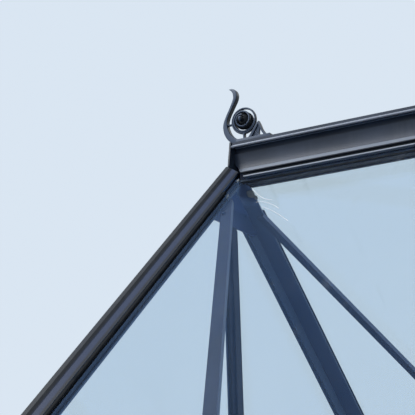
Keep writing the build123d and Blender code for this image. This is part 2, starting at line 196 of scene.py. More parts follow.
def powderCoat(name, deep, pale, **changes):
    look = {**frameCoat, "deep": deep, "pale": pale, **changes}
    f = Finish(name)
    cloud = f.noise(*look["cloud"])
    grain = f.noise(*look["grain"])
    peel = f.noise(*look["orangePeel"])
    drops = f.noise(*look["drops"])
    rain = f.noise(*look["rain"], stretch=look["rainStretch"])
    lying = f.step(f.facing(upwards), *look["lyingRange"])
    streaks = f.step(rain, *look["rainRange"]) * look["rainShare"]
    dust = (f.step(drops, *look["dropRange"]) * lying + streaks) * look["dustAmount"]
    coatAndPaintedLight = f.blend(f.step(cloud, *look["cloudRange"]), look["deep"], look["pale"])
    # the bands paint light and shade into the coat: painted highlights, painted shade and painted light
    for line, low, high, soft, share, tone in look.get("bands", ()):
        coatAndPaintedLight = f.blend(f.band(line, low, high, soft) * share, coatAndPaintedLight, tone)
    coatAndPaintedLight = f.blend(f.step(grain, *look["grainRange"]) * look["grainShare"], coatAndPaintedLight, look["dust"])
    colour = f.blend(dust.clamped(), coatAndPaintedLight, look["dust"])
    uneven = f.step(cloud, *look["glossRange"]) * look["glossSpread"]
    rough = look["gloss"] + uneven + dust * look["dustRough"]
    height = peel * look["peelShare"] + grain * (1 - look["peelShare"])
    normal = f.bump(height, look["peelStrength"], look["peel"])
    return f.done(f.surface(colour=colour, rough=rough.clamped(), normal=normal, shine=look["shine"]))


# Glass: each face mirrors by its angle and lets the rest through, with dust, dried drops and runs over it.
# The mirror is tinted blue: a painted reflection of a blue sky.
paneGlass = {
    "clear": (0.925, 0.95, 0.955, 1.0), "paintedSkyTint": (0.25, 0.5, 1.0, 1.0), "dust": rgb(205, 210, 214),
    "headOn": 0.028, "glance": 0.20, "glanceCurve": 5.0, "mirrorRough": 0.02, "dustRough": 0.9,
    "film": 0.004, "filmNoise": (5.0, 5.0, 0.6), "filmRange": (0.35, 0.8),
    "spots": 0.08, "spotNoise": (230.0, 2.0, 0.4), "spotRange": (0.66, 0.74), "spottedRange": (0.5, 0.68),
    "runs": 0.05, "runNoise": (60.0, 2.0, 0.5), "runStretch": (1, 0.05, 0.05), "runRange": (0.6, 0.78),
    "streakedRange": (0.42, 0.7), "patches": (11.0, 3.0),
}


def clearGlass(name, **changes):
    look = {**paneGlass, **changes}
    f = Finish(name)
    film = f.noise(*look["filmNoise"])
    spots = f.noise(*look["spotNoise"])
    patches = f.noise(*look["patches"])
    runs = f.noise(*look["runNoise"], stretch=look["runStretch"])
    soil = f.step(film, *look["filmRange"]) * look["film"] * 2 + look["film"]
    soil = soil + f.step(spots, *look["spotRange"]) * f.step(patches, *look["spottedRange"]) * look["spots"]
    soil = soil + f.step(runs, *look["runRange"]) * f.step(patches, *look["streakedRange"]) * look["runs"]
    clear = f.add("ShaderNodeBsdfTransparent", None, {"Color": look["clear"]})
    # the mirror's blue tint is a painted sky reflection
    mirror = f.surface(colour=look["paintedSkyTint"], metal=1.0, rough=look["mirrorRough"])
    edgeOn = f.add("ShaderNodeLayerWeight", None, {"Blend": 0.5}, out="Facing")
    glance = edgeOn ** look["glanceCurve"] * look["glance"] + look["headOn"]
    pane = f.add("ShaderNodeMixShader", None, {0: glance.clamped(), 1: clear, 2: mirror})
    dust = f.surface(colour=look["dust"], rough=look["dustRough"])
    return f.done(f.add("ShaderNodeMixShader", None, {0: soil.clamped(), 1: pane, 2: dust}))


# Black rubber of the glazing strips, a little grey where it has weathered. Sealant and threads are as dull.
rubberLook = {"wear": (45.0, 4.0, 0.6), "wearRange": (0.45, 0.75), "wearShare": 0.6, "wearRough": 0.2,
              "fine": (1300.0, 2.0), "fineStrength": 0.4, "fineHeight": 0.0001, "shine": 0.12}


def rubber(name, deep, worn, rough, look=rubberLook):
    f = Finish(name)
    wear = f.step(f.noise(*look["wear"]), *look["wearRange"])
    fine = f.noise(*look["fine"])
    colour = f.blend(wear * look["wearShare"], deep, worn)
    normal = f.bump(fine, look["fineStrength"], look["fineHeight"])
    dull = (rough + wear * look["wearRough"]).clamped()
    return f.done(f.surface(colour=colour, rough=dull, shine=look["shine"], normal=normal))


# Painted highlights, painted shade and painted light on the coats: line, from, to, soft edge, share, tone
# (see Finish.band)
# the tone of the painted highlights
paintedHighlight = rgb(136, 146, 162)
# Ridge: painted highlights on the capping's lower lip, the ledge and the bead; painted shade in the groove
# and under the moulding
ridgePaintedHighlightsAndShade = [("up", 34.6, 38.0, 0.4, 0.95, paintedHighlight), ("up", -13.9, -7.3, 0.3, 0.72, paintedHighlight),
              ("up", -23.2, -20.2, 0.4, 1.0, paintedHighlight), ("up", -20.0, -14.6, 0.2, 0.8, rgb(6, 8, 12)),
              ("up", -35.0, -26.5, 1.0, 0.4, rgb(12, 15, 20))]
# Rafters: painted light on a strip of their upper faces, on faces that look down (most near the apex, in the
# ridge's shadow) and on faces that look along the ridge; painted shade on a strip of their upper faces nearer
# the gable
rafterPaintedLightAndShade = [("in", 20.0, 26.0, 5.0, 0.45, rgb(50, 68, 106)), ("in", 11.5, 15.0, 3.0, 0.6, rgb(8, 12, 18)),
               ("down", 0.3, 1.2, 0.2, 0.85, rgb(32, 50, 88)),
               ("under", -44.0, 0.0, 16.0, 1.0, rgb(112, 132, 166)),
               ("side", 0.9, 1.1, 0.1, 0.95, rgb(100, 118, 146))]
# Ridge beam and mullions: a painted highlight line below the apex, painted shade on faces that look down
insidePaintedHighlightAndShade = [("up", -28.5, -26.3, 0.3, 0.75, rgb(104, 114, 130)),
               ("down", 0.8, 1.2, 0.1, 0.8, rgb(3, 5, 9))]
# Braces: a painted highlight on faces that look nearly along the ridge
bracePaintedHighlight = [("side", 0.88, 0.97, 0.03, 0.8, rgb(104, 122, 156))]
# Gusset: painted light on its upper part, where the ridge's shadow falls
gussetPaintedLight = [("up", -62.0, 0.0, 14.0, 0.9, rgb(55, 85, 149))]
# Finial: painted highlights on faces that look across the ridge, painted shade on faces that look along it
castPaintedHighlightAndShade = [("face", 0.8, 1.1, 0.25, 0.55, rgb(90, 106, 130)), ("side", 0.6, 1.1, 0.3, 0.95, rgb(6, 9, 14))]

coats = {
    "framePaint": powderCoat("frame_paint", frameCoat["deep"], frameCoat["pale"]),
    # The ridge's coat: a little lighter than the frame coat, with painted highlights and painted shade
    "ridgeCoatPaintedLight": powderCoat("ridge_coat_painted_light", rgb(40, 49, 64), rgb(54, 64, 82), bands=ridgePaintedHighlightsAndShade),
    # The rafters' coat: much darker than the frame coat, as painted shade, with painted light and shade in
    # its bands
    "rafterCoatPaintedLight": powderCoat("rafter_coat_painted_light", rgb(9, 15, 24), rgb(16, 24, 36), gloss=0.5, shine=0.2,
                              dustAmount=0.04, bands=rafterPaintedLightAndShade),
    # The coat of the ridge beam and mullions: much darker and bluer than the frame coat, as painted shade
    # with painted blue sky light
    "insideCoatPaintedLight": powderCoat("inside_coat_painted_light", rgb(8, 18, 36), rgb(15, 28, 52), gloss=0.5, shine=0.2,
                              dustAmount=0.05, bands=insidePaintedHighlightAndShade),
    # The braces' coat, on their bolts too: bluer than the frame coat, as painted blue sky light, with a
    # painted highlight
    "braceCoatPaintedLight": powderCoat("brace_paint", rgb(14, 25, 50), rgb(23, 37, 68), gloss=0.45, shine=0.2,
                             dustAmount=0.05, bands=bracePaintedHighlight),
    # The gusset's coat, on its rivets too: blue-grey, its blue made stronger than the paint's own as painted
    # sky light, with painted light near the apex
    "gussetCoatPaintedLight": powderCoat("gusset_coat_painted_light", rgb(32, 52, 98), rgb(46, 72, 124), gloss=0.45, shine=0.25,
                              dustAmount=0.05, bands=gussetPaintedLight),
    # The finial's black cast coat, with painted highlights and painted shade
    "castBlackPaintedLight": powderCoat("cast_black", rgb(22, 32, 48), rgb(38, 50, 70), gloss=0.4, shine=0.25,
                            dustAmount=0.06, bands=castPaintedHighlightAndShade),
    # The finial's core behind the coil: near black, darker than the cast, as painted shade of the recess
    "coreBlackPaintedShade": powderCoat("core_black_painted_shade", rgb(8, 10, 14), rgb(16, 20, 27), gloss=0.45, shine=0.2,
                            dustAmount=0.05),
    "endBlack": powderCoat("end_black", rgb(23, 31, 43), rgb(34, 44, 58), gloss=0.5),
    "roofGlass": clearGlass("roof_glass"),
    "gableGlass": clearGlass("gable_glass", spots=0.05, runs=0.03),
    "blackRubber": rubber("black_rubber", rgb(4, 8, 13), rgb(14, 22, 32), 0.75),
    "whiteThread": rubber("white_thread", rgb(240, 243, 247), rgb(252, 253, 255), 0.8),
    "paleSealant": rubber("pale_sealant", rgb(190, 186, 180), rgb(236, 233, 228), 0.8),
}

nodeCoats = [("finial", "castBlackPaintedLight"), ("ridge_end_plate", "endBlack"), ("rafter_gasket", "blackRubber"),
             ("roof_pane", "roofGlass"), ("gable_glass", "gableGlass"), ("wind_brace", "braceCoatPaintedLight"),
             ("gusset_plate", "gussetCoatPaintedLight"), ("gable_rafter", "rafterCoatPaintedLight"),
             ("gable_mullion", "insideCoatPaintedLight"), ("ridge_beam", "insideCoatPaintedLight"),
             ("ridge_capping", "ridgeCoatPaintedLight"), ("ridge_moulding", "ridgeCoatPaintedLight")]
for name, node in nodes.items():
    coat = next((c for start, c in nodeCoats if name.startswith(start)), "framePaint")
    for slot in node.material_slots:
        slot.material = coats[coat]
print("finishes on all nodes")


# Working in edit mode, as by hand
def deselectAll():
    if bpy.context.object and bpy.context.object.mode != "OBJECT":
        bpy.ops.object.mode_set(mode="OBJECT")
    for thing in bpy.context.selected_objects:
        thing.select_set(False)
    bpy.context.view_layer.objects.active = None


def makeActive(piece):
    deselectAll()
    piece.select_set(True)
    bpy.context.view_layer.objects.active = piece


def editNow(piece):
    makeActive(piece)
    bpy.ops.object.mode_set(mode="EDIT")
    bpy.ops.mesh.select_all(action="SELECT")


def pickFaces(piece, test):
    # selects the faces whose normal passes the test, and nothing else
    bpy.ops.mesh.select_mode(type="FACE")
    bpy.ops.mesh.select_all(action="DESELECT")
    bpy.ops.object.mode_set(mode="OBJECT")
    for face in piece.data.polygons:
        face.select = bool(test(face.normal))
    bpy.ops.object.mode_set(mode="EDIT")


def pickEdges(piece, test):
    # selects the edges between the corners that pass the test, and nothing else
    bpy.ops.mesh.select_mode(type="VERT")
    bpy.ops.mesh.select_all(action="DESELECT")
    bpy.ops.object.mode_set(mode="OBJECT")
    for vert in piece.data.vertices:
        vert.select = bool(test(vert.co))
    bpy.ops.object.mode_set(mode="EDIT")
    bpy.ops.mesh.select_mode(type="EDGE")


def settle(piece):
    # back to object mode, with the piece's place in its mesh
    makeActive(piece)
    bpy.ops.object.transform_apply(location=True, rotation=True, scale=True)
    return piece


def modify(piece, kind, **settings):
    makeActive(piece)
    modifier = piece.modifiers.new(kind.lower(), kind)
    for key, value in settings.items():
        setattr(modifier, key, value)
    bpy.ops.object.modifier_apply(modifier=modifier.name)


def closeUp(piece):
    # doubles merged, faces outwards
    editNow(piece)
    bpy.ops.mesh.remove_doubles(threshold=mergeDistance)
    bpy.ops.mesh.select_all(action="SELECT")
    bpy.ops.mesh.normals_make_consistent(inside=False)
    bpy.ops.object.mode_set(mode="OBJECT")
    return piece


def joinPieces(name, pieces):
    deselectAll()
    for piece in pieces:
        piece.select_set(True)
    bpy.context.view_layer.objects.active = pieces[0]
    if len(pieces) > 1:
        bpy.ops.object.join()
    pieces[0].name = pieces[0].data.name = name
    return pieces[0]


def finishPiece(piece, coat, smooth=35.0, replaced=()):
    # place goes into the mesh, then finish, body and slot
    settle(piece)
    bpy.ops.object.shade_smooth_by_angle(angle=math.radians(smooth))
    piece.data.materials.clear()
    piece.data.materials.append(coats[coat])
    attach(piece, "root")
    if replaced:
        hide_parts(*replaced)


def copyPiece(piece, name, move):
    # a copy with its own mesh, put in place by the matrix move
    twin = piece.copy()
    twin.data = piece.data.copy()
    twin.name = twin.data.name = name
    bpy.context.scene.collection.objects.link(twin)
    twin.data.transform(move)
    if move.determinant() < 0:
        twin.data.flip_normals()
    return twin


def addBox(place, size):
    # a box, left in edit mode with all of it selected
    deselectAll()
    bpy.ops.mesh.primitive_cube_add(size=1.0, location=place)
    box = bpy.context.object
    editNow(box)
    bpy.ops.transform.resize(value=size)
    return box


def addSection(rounding):
    # a flat unit square with rounded corners, left in edit mode with all of it selected
    deselectAll()
    bpy.ops.mesh.primitive_plane_add(size=1.0, location=(0, 0, 0))
    section = bpy.context.object
    editNow(section)
    bpy.ops.mesh.bevel(affect="VERTICES", offset=rounding, segments=3)
    return section


def throughPoints(stops, parts):
    # more stops on a smooth line through those given
    smooth = []
    last = len(stops) - 1
    for i in range(last):
        a, b, c, d = (stops[max(0, min(last, i + k))] for k in (-1, 0, 1, 2))
        for j in range(parts):
            t = j / parts
            smooth.append(tuple(0.5 * (2 * q + (r - p) * t + (2 * p - 5 * q + 4 * r - s) * t * t
                                       + (3 * q - p - 3 * r + s) * t ** 3) for p, q, r, s in zip(a, b, c, d)))
    smooth.append(stops[-1])
    return smooth


def drawBar(stops, rounding):
    # a rounded bar through stops (x, y, z, width, depth); it bends in the upright plane of the ridge
    headings = []
    for i in range(len(stops)):
        a, b = stops[max(i - 1, 0)], stops[min(i + 1, len(stops) - 1)]
        headings.append(math.atan2(b[2] - a[2], b[0] - a[0]))
    x, y, z, width, depth = stops[0]
    bar = addSection(rounding)
    bpy.ops.transform.resize(value=(width, depth, 1), center_override=(0, 0, 0))
    bpy.ops.transform.rotate(value=headings[0] - math.pi / 2, orient_axis="Y", center_override=(0, 0, 0))
    bpy.ops.transform.translate(value=(x, y, z))
    for i in range(1, len(stops)):
        last, now = stops[i - 1], stops[i]
        turn = (headings[i] - headings[i - 1] + math.pi) % (2 * math.pi) - math.pi
        step = [now[k] - last[k] for k in range(3)]
        bpy.ops.mesh.extrude_region_move(TRANSFORM_OT_translate={"value": step})
        bpy.ops.transform.rotate(value=turn, orient_axis="Y", center_override=now[:3])
        wide, deep = now[3] / last[3], now[4] / last[4]
        bpy.ops.transform.resize(value=(wide, deep, wide), center_override=now[:3])
    bpy.ops.object.mode_set(mode="OBJECT")
    return closeUp(bar)


# Finial: a cast scroll on each end of the ridge. A spot is (inwards from the ridge's end, above the apex
# line); a stop on a bar adds the bar's width and its depth across the ridge. All in mm.
scroll = {
    "tail": [(2, 53.5, 12, 12), (-8.5, 58.3, 11.8, 12), (-17.6, 65.4, 11.6, 12), (-23.7, 74.2, 11.2, 12),
             (-26.9, 82.9, 10.4, 12), (-28.2, 91.2, 8.8, 12), (-27.4, 99, 6.9, 12), (-24.9, 106.4, 5.3, 12),
             (-21.4, 113.8, 4.6, 12), (-17.3, 120.9, 4.6, 12), (-13.3, 128.1, 5.0, 12),
             (-9.4, 135.3, 5.8, 12), (-6.2, 142.6, 7.2, 11.5), (-5.4, 149.8, 8.2, 11), (-7.4, 156.4, 7.8, 10),
             (-12.4, 161.3, 4.9, 8), (-19.6, 164.4, 0.7, 2)],
    "stem": [(10, 57, 7.0, 9), (9.8, 62, 4.4, 8), (9.7, 68, 4.0, 7.5), (9.9, 73, 5.6, 7.5)],
    "link": [(-25, 93.2, 4.4, 8), (-20, 93.0, 3.0, 7), (-14.5, 93.1, 4.2, 7)],
    "stay": [[(41.2, 89.6, 1.8, 6.0), (38.6, 85.0, 4.4, 8.0), (32.6, 75.4, 5.4, 9.0), (24.0, 63.0, 6.6, 9.5),
              (20.0, 57.5, 7.4, 9.5)],
             [(41.0, 89.6, 1.8, 6.0), (43.4, 82.0, 3.4, 8.0), (47.0, 72.0, 3.6, 8.5), (52.0, 64.0, 4.2, 9.0),
              (58.0, 58.0, 5.4, 9.5)],
             [(35.0, 71.0, 2.0, 7.0), (37.0, 66.0, 3.0, 8.0), (43.0, 60.5, 5.0, 9.0)],
             [(40.6, 86.0, 3.0, 4.6), (38.6, 77.0, 9.0, 4.6), (34.0, 68.0, 17.0, 4.6),
              (30.5, 58.0, 26.0, 4.6)]],
    # rounding of the corners, as a share of the section, and stops drawn for each one given
    "tailEdge": 0.10, "tailParts": 4, "barEdge": 0.25, "stayEdge": 0.15, "barParts": 3,
    "middle": (10.0, 96.4),
    "ringRadius": 24.2, "ringWidth": 3.4, "ringDepth": 7.0, "ringEdge": 0.3, "ringSteps": 72,
    # the coil comes in by the pitch each turn, stands out by the rise at its end, grows thinner by the taper
    "turns": 1.8, "turnSteps": 30, "coilStart": 23.6, "pitch": 8.5, "rise": 13.0,
    "coilWidth": 3.9, "coilDepth": 6.0, "coilTaper": 0.25, "coilEdge": 0.28,
    "coreRadius": 17.6, "coreTop": 6.4, "coreOut": 10.5, "coreRim": 0.8, "coreSides": 48,
    "ballRadius": 5.2, "ballOut": 15.5, "ballFlat": 0.94, "ballInset": 0.3, "ballSink": 0.4,
    "ballSegments": 32, "ballRings": 18,
    "base": (-6.0, 66.0, 47.1, 60.6), "baseWidth": 12.8, "baseInset": 1.6, "baseLift": 1.2, "baseEdge": 0.7,
    "smooth": 32.0,
}


def scrollSpot(end, across, up, out=0.0):
    return (end * (roof["ridgeEnd"] - mm(across)), mm(out), apex + mm(up))


def scrollBar(end, stops, rounding, parts):
    places = [(*scrollSpot(end, across, up), *mm(width, depth)) for across, up, width, depth in stops]
    return drawBar(throughPoints(places, parts), rounding)


def makeRing(middle, look):
    # a rounded section spun about the scroll's own axle
    ring = addSection(look["ringEdge"])
    bpy.ops.mesh.delete(type="ONLY_FACE")
    bpy.ops.mesh.select_all(action="SELECT")
    bpy.ops.transform.resize(value=(*mm(look["ringWidth"], look["ringDepth"]), 1), center_override=(0, 0, 0))
    bpy.ops.transform.translate(value=(middle[0] + mm(look["ringRadius"]), 0, middle[2]))
    bpy.ops.mesh.spin(steps=look["ringSteps"], angle=2 * math.pi, center=(middle[0], 0, middle[2]),
                      axis=(0, 1, 0))
    bpy.ops.object.mode_set(mode="OBJECT")
    return closeUp(ring)


def makeCoil(end, side, look):
    # it leaves the ring, winds inwards and stands out further each turn
    across, up = look["middle"]
    count = int(look["turns"] * look["turnSteps"])
    stops = []
    for i in range(count + 1):
        turned = look["turns"] * i / count
        angle = 2 * math.pi * turned
        radius = look["coilStart"] - look["pitch"] * turned
        taper = 1.0 - look["coilTaper"] * i / count
        spot = scrollSpot(end, across + radius * math.cos(angle), up - radius * math.sin(angle),
                          side * look["rise"] * turned / look["turns"])
        stops.append((*spot, *mm(look["coilWidth"] * taper, look["coilDepth"] * taper)))
    return drawBar(stops, look["coilEdge"])


def makeCore(middle, side, look):
    # behind the coil, narrower towards the ball
    deselectAll()
    bpy.ops.mesh.primitive_cone_add(vertices=look["coreSides"], radius1=mm(look["coreRadius"]),
                                    radius2=mm(look["coreTop"]), depth=mm(look["coreOut"]),
                                    location=(middle[0], side * mm(look["coreOut"]) / 2, middle[2]),
                                    rotation=(side * math.pi / -2, 0, 0))
    core = bpy.context.object
    editNow(core)
    pickFaces(core, lambda normal: abs(normal.z) > flat)
    bpy.ops.mesh.bevel(affect="EDGES", offset=mm(look["coreRim"]), segments=3)
    bpy.ops.object.mode_set(mode="OBJECT")
    return core


def makeBall(middle, side, look):
    # with a small flat sunk into its outer end
    deselectAll()
    bpy.ops.mesh.primitive_uv_sphere_add(segments=look["ballSegments"], ring_count=look["ballRings"],
                                         radius=mm(look["ballRadius"]),
                                         location=(middle[0], side * mm(look["ballOut"]), middle[2]),
                                         rotation=(side * math.pi / -2, 0, 0))
    ball = bpy.context.object
    editNow(ball)
    pickFaces(ball, lambda normal: normal.z > look["ballFlat"])
    bpy.ops.mesh.inset(thickness=mm(look["ballInset"]))
    bpy.ops.transform.translate(value=(0, -side * mm(look["ballSink"]), 0))
    bpy.ops.object.mode_set(mode="OBJECT")
    return ball


def makeBase(end, look):
    # the bar on the capping that the scroll stands on
    start, stop, low, high = look["base"]
    near, far = scrollSpot(end, start, low), scrollSpot(end, stop, high)
    base = addBox(((near[0] + far[0]) / 2, 0, (near[2] + far[2]) / 2),
                  (abs(far[0] - near[0]), mm(look["baseWidth"]), far[2] - near[2]))
    pickFaces(base, lambda normal: normal.z > flat)
    bpy.ops.mesh.inset(thickness=mm(look["baseInset"]))
    bpy.ops.transform.translate(value=(0, 0, mm(look["baseLift"])))
    bpy.ops.mesh.select_all(action="SELECT")
    bpy.ops.mesh.bevel(affect="EDGES", offset=mm(look["baseEdge"]), segments=2)
    bpy.ops.object.mode_set(mode="OBJECT")
    return base


def makeFinial(end, endName, look):
    middle = scrollSpot(end, *look["middle"])
    pieces = [scrollBar(end, look["tail"], look["tailEdge"], look["tailParts"])]
    pieces += [scrollBar(end, look[bar], look["barEdge"], look["barParts"]) for bar in ("stem", "link")]
    pieces.append(makeRing(middle, look))
    cores = []
    for side in (-1, 1):
        pieces.append(makeCoil(end, side, look))
        cores.append(makeCore(middle, side, look))
        pieces.append(makeBall(middle, side, look))
    pieces.append(makeBase(end, look))
    pieces += [scrollBar(end, leg, look["stayEdge"], look["barParts"]) for leg in look["stay"]]
    name = f"finial_{endName}_cast"
    # the core gets its near-black coat of painted shade
    finishPiece(joinPieces(name + "_core", cores), "coreBlackPaintedShade", look["smooth"])
    finishPiece(joinPieces(name, pieces), "castBlackPaintedLight", look["smooth"], [f"finial_{endName}"])


for end, endName in ends:
    makeFinial(end, endName, scroll)
print("finials cast")


def slopeFrame(x, end, side):
    # from (inwards, down the slope, out of the glass) to the whole roof; x is where "inwards" starts
    return Matrix(((-end, 0, 0, x), (0, side * slopeCos, side * slopeSin, 0), (0, -slopeSin, slopeCos, apex),
                   (0, 0, 0, 1)))


def makeStrip(look):
    # a strip along the glass with its outer upper edge rounded off; it lies from start to stop down the slope
    near, start, low = mm(look["near"], look["start"], look["low"])
    far, stop, high = mm(look["far"], look["stop"], look["high"])
    middle = ((near + far) / 2, (start + stop) / 2, (low + high) / 2)
    strip = addBox(middle, (far - near, stop - start, high - low))
    pickEdges(strip, lambda spot: spot.x > 0 and spot.z > 0)
    bpy.ops.mesh.bevel(affect="EDGES", offset=mm(look["round"]), segments=3)
    return settle(strip)


# Rubber beside the gable rafters' cappings, a wide black strip on the glass
rafterRubber = {"near": 34.3, "far": 41.0, "low": 0.1, "high": 3.3, "round": 2.4,
                "start": 95.1, "stop": 1719.2}


def layRafterRubber(look):
    strip = makeStrip(look)
    for end, endName in ends:
        for side, sideName in sides:
            move = slopeFrame(end * roof["gableX"], end, side)
            twin = copyPiece(strip, f"rafter_rubber_{sideName}_{endName}", move)
            finishPiece(twin, "blackRubber", replaced=[f"rafter_gasket_{sideName}_{endName}"])
    bpy.data.objects.remove(strip)


layRafterRubber(rafterRubber)

# Narrow rubber on both sides of each glazing bar's capping
barRubber = {"near": 14.2, "far": 16.8, "low": 0.1, "high": 2.6, "round": 1.4,
             "start": 95.1, "stop": 1719.2, "bars": (-310.0, 310.0)}


def layBarRubber(look):
    strip = makeStrip(look)
    for side, sideName in sides:
        pieces = [copyPiece(strip, "bar_rubber", slopeFrame(mm(x), end, side))
                  for x in look["bars"] for end in (-1, 1)]
        finishPiece(joinPieces(f"bar_rubber_{sideName}", pieces), "blackRubber")
    bpy.data.objects.remove(strip)


layBarRubber(barRubber)

# Rubber beside the gable mullions, on the inside of the gable glass. The middle one ends under the gusset
# ("gusset" below the apex line), the others under the rafters' seats ("seat" square to the glass).
mullionRubber = {"half": 19.2, "width": 3.4, "inner": 10.0, "deep": 2.3, "round": 1.4, "foot": 50.5,
                 "places": (-620.0, 0.0, 620.0), "gusset": 106.5, "seat": 39.0}


def makeMullionRubber(end, middle, side, look):
    y = mm(middle) + side * mm(look["half"] + look["width"] / 2)
    outer = abs(y) + mm(look["width"]) / 2
    top = apex - (mm(look["seat"]) + outer * slopeSin) / slopeCos if middle else apex - mm(look["gusset"])
    foot = mm(look["foot"])
    x = end * (roof["gableX"] - mm(look["inner"] - look["deep"] / 2))
    strip = addBox((x, y, (top + foot) / 2), (*mm(look["deep"], look["width"]), top - foot))
    pickEdges(strip, lambda spot: spot.x * end < 0 and spot.y * side > 0)
    bpy.ops.mesh.bevel(affect="EDGES", offset=mm(look["round"]), segments=3)
    bpy.ops.object.mode_set(mode="OBJECT")
    return strip


def layMullionRubber(look):
    for end, endName in ends:
        pieces = [makeMullionRubber(end, middle, side, look) for middle in look["places"] for side in (-1, 1)]
        finishPiece(joinPieces("mullion_rubber_" + endName, pieces), "blackRubber")


layMullionRubber(mullionRubber)

# End caps of the glazing bars, over the eaves
barEnd = {"width": 27.0, "height": 7.4, "low": 0.4, "near": 1713.5, "far": 1724.0, "round": 1.6, "inset": 3.0,
          "top": (0.8, 0.7, 1.0), "lift": 0.9, "bars": (-310.0, 310.0)}


def capBars(look):
    near, far, width, low, height = mm(*(look[key] for key in ("near", "far", "width", "low", "height")))
    cap = addBox((0, (near + far) / 2, low + height / 2), (width, far - near, height))
    pickFaces(cap, lambda normal: normal.z > flat)
    bpy.ops.mesh.inset(thickness=mm(look["inset"]))
    bpy.ops.transform.resize(value=look["top"])
    bpy.ops.transform.translate(value=(0, 0, mm(look["lift"])))
    pickFaces(cap, lambda normal: normal.y > flat)
    bpy.ops.mesh.bevel(affect="EDGES", offset=mm(look["round"]), segments=3)
    settle(cap)
    for side, sideName in sides:
        pieces = [copyPiece(cap, "bar_end", slopeFrame(mm(x), -1, side)) for x in look["bars"]]
        finishPiece(joinPieces(f"bar_end_caps_{sideName}", pieces), "blackRubber")
    bpy.data.objects.remove(cap)


capBars(barEnd)
print("rubber laid")

# Bolts of the wind braces: washer, hexagon and a small raised crown. Their places on the brace's upper face
# are (inwards, down the slope), and "braceOut" is that face's height out of the glass.
bolts = {"radius": 3.4, "height": 2.6, "sides": 6, "washer": 5.4, "washerHeight": 0.8, "washerSides": 24,
         "edge": 0.2, "inset": 0.6, "crown": 0.4, "onBrace": [(54.6, 156.0), (586.0, 1660.0)],
         "braceOut": -13.4}


def addDrum(drumSides, radius, height, foot=0.0):
    # a cylinder or prism on the origin, or with its foot this far above
    deselectAll()
    bpy.ops.mesh.primitive_cylinder_add(vertices=drumSides, radius=mm(radius), depth=mm(height),
                                        location=(0, 0, mm(foot + height / 2)))
    return bpy.context.object


def makeBolt(look):
    washer = addDrum(look["washerSides"], look["washer"], look["washerHeight"])
    editNow(washer)
    bpy.ops.mesh.bevel(affect="EDGES", offset=mm(look["edge"]), segments=2)
    head = addDrum(look["sides"], look["radius"], look["height"], look["washerHeight"])
    editNow(head)
    pickFaces(head, lambda normal: normal.z > flat)
    bpy.ops.mesh.inset(thickness=mm(look["inset"]))
    bpy.ops.transform.translate(value=(0, 0, mm(look["crown"])))
    bpy.ops.mesh.select_all(action="SELECT")
    bpy.ops.mesh.bevel(affect="EDGES", offset=mm(look["edge"]), segments=2)
    return settle(joinPieces("bolt", [washer, head]))


def standOn(x, y, z, outwards):
    # turns a piece that stands on the origin so that it stands on this place, out along the given direction
    return Matrix.Translation((x, y, z)) @ Vector(outwards).to_track_quat("Z", "Y").to_matrix().to_4x4()


def fitBolts(look):
    bolt = makeBolt(look)
    for end, endName in ends:
        for side, sideName in sides:
            onSlope = slopeFrame(end * roof["gableX"], end, side)
            spots = [onSlope @ Vector(mm(*place, look["braceOut"])) for place in look["onBrace"]]
            outwards = (0, side * slopeSin, slopeCos)
            pieces = [copyPiece(bolt, "brace_bolt", standOn(*spot, outwards)) for spot in spots]
            finishPiece(joinPieces(f"brace_bolts_{sideName}_{endName}", pieces), "braceCoatPaintedLight")
    bpy.data.objects.remove(bolt)


fitBolts(bolts)

# Screws and rivets: a domed head with a round socket. Places are (across, above the apex line); "plateIn" and
# "gussetIn" are the faces they stand on, inwards from the gable's outer face.
screws = {"radius": 3.2, "height": 1.7, "sides": 24, "dome": 1.1, "rim": 0.7, "socket": 0.8,
          "plateIn": 34.3, "onPlate": [(27, 34), (-27, 34), (38, 8), (-38, 8)],
          "gussetIn": 12.85, "onGusset": [(80, -98), (-80, -98), (52, -72), (-52, -72), (14, -42),
                                          (-14, -42)]}


def makeScrew(look):
    screw = addDrum(look["sides"], look["radius"], look["height"])
    editNow(screw)
    pickFaces(screw, lambda normal: normal.z > flat)
    bpy.ops.mesh.bevel(affect="EDGES", offset=mm(look["dome"]), segments=4)
    pickFaces(screw, lambda normal: normal.z > flat)
    bpy.ops.mesh.inset(thickness=mm(look["rim"]))
    bpy.ops.mesh.extrude_region_move(TRANSFORM_OT_translate={"value": (0, 0, -mm(look["socket"]))})
    return settle(screw)


def fitScrews(look):
    screw = makeScrew(look)
    for end, endName in ends:
        x = end * (roof["gableX"] - mm(look["plateIn"]))
        pieces = [copyPiece(screw, "plate_screw", standOn(x, mm(y), apex + mm(z), (end, 0, 0)))
                  for y, z in look["onPlate"]]
        finishPiece(joinPieces("end_plate_screws_" + endName, pieces), "endBlack")
        x = end * (roof["gableX"] - mm(look["gussetIn"]))
        pieces = [copyPiece(screw, "gusset_rivet", standOn(x, mm(y), apex + mm(z), (-end, 0, 0)))
                  for y, z in look["onGusset"]]
        finishPiece(joinPieces("gusset_rivets_" + endName, pieces), "gussetCoatPaintedLight")
    bpy.data.objects.remove(screw)


fitScrews(screws)
print("bolts and screws fitted")

# Sealant squeezed out at the photographed end of the ridge. Each lump: place (inwards, across, above the apex
# line), size, the roof side it lies on, seed of its lumpiness.
sealant = {"rough": 0.26, "levels": 2, "smooth": 60.0,
           "lumps": [((38.5, 25.5, -38.5), (17, 20, 6), 1, 3), ((45.0, 33.0, -45.5), (8, 13, 4), 1, 6),
                     ((38.0, -64.0, -64.5), (4, 15, 6), -1, 5), ((38.4, -21.5, -25.5), (5, 12, 5), -1, 7),
                     ((33.0, 1.0, -20.5), (12, 9, 5), 1, 9)]}


